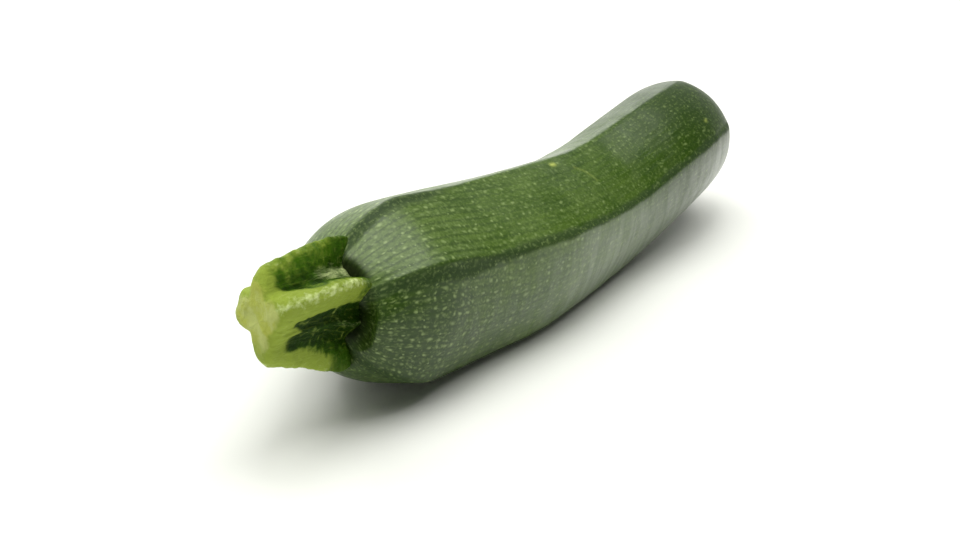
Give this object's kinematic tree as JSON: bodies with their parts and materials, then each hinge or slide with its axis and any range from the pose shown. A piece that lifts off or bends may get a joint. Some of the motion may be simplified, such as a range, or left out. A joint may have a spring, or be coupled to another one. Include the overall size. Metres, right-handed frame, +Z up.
{
  "type": "courgette",
  "caption": "Whole courgette (zucchini), slightly bent, with soft lengthwise ridges, a rounded blossom end and the ribbed stub of its cut stalk.",
  "frame": {"origin": "under the middle of the bounding box, at the height of the surface it lies on", "axes": "+X along the fruit from the stalk to the blossom end, +Z up, -Y the side its bend bulges toward near the middle"},
  "size_m": [0.1904, 0.0466, 0.0468],
  "materials": {
    "courgette_skin": null,
    "stalk": "fibrous pale green stalk with dark grooves and a pale, moist cut face"
  },
  "bodies": {
    "root": {"fruit": "courgette_skin", "stem": "stalk"}
  },
  "joints": []
}
